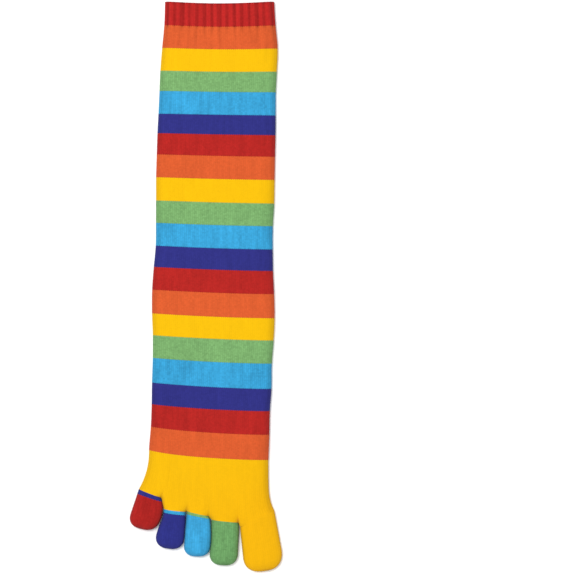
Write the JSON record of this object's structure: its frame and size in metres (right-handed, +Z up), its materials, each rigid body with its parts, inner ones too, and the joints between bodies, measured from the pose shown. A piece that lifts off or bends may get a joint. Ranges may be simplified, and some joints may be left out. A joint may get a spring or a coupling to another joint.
{
  "type": "toe sock",
  "caption": "Knee-high toe sock with coloured stripes, lying flat: ribbed cuff, straight leg, yellow foot and separate toes.",
  "frame": {"origin": "on the surface that the sock lies on, under the middle of its outline", "axes": "+Y from the toes to the cuff, +Z up from the sole side to the instep side, +X towards the big toe's side"},
  "size_m": [0.1332, 0.4996, 0.0095],
  "materials": {
    "red_yarn": "matt warm red jersey, ribbed at the cuff",
    "orange_yarn": "matt orange jersey",
    "yellow_yarn": "matt golden yellow jersey",
    "green_yarn": "matt sage green jersey, slightly heathered",
    "blue_yarn": "matt sky blue jersey, slightly mottled",
    "indigo_yarn": "matt dark indigo jersey"
  },
  "bodies": {
    "root": {"cuff": "red_yarn", "stripe_01_orange": "orange_yarn", "stripe_02_yellow": "yellow_yarn", "stripe_03_green": "green_yarn", "stripe_04_blue": "blue_yarn", "stripe_05_indigo": "indigo_yarn", "stripe_06_red": "red_yarn", "stripe_07_orange": "orange_yarn", "stripe_08_yellow": "yellow_yarn", "stripe_09_green": "green_yarn", "stripe_10_blue": "blue_yarn", "stripe_11_indigo": "indigo_yarn", "stripe_12_red": "red_yarn", "stripe_13_orange": "orange_yarn", "stripe_14_yellow": "yellow_yarn", "stripe_15_green": "green_yarn", "stripe_16_blue": "blue_yarn", "stripe_17_indigo": "indigo_yarn", "stripe_18_red": "red_yarn", "stripe_19_orange": "orange_yarn", "foot": "yellow_yarn", "little_toe_band": "indigo_yarn", "little_toe": "red_yarn", "fourth_toe_band": "blue_yarn", "fourth_toe": "indigo_yarn", "third_toe_band": "green_yarn", "third_toe": "blue_yarn", "second_toe": "green_yarn", "big_toe": "yellow_yarn"}
  },
  "joints": []
}
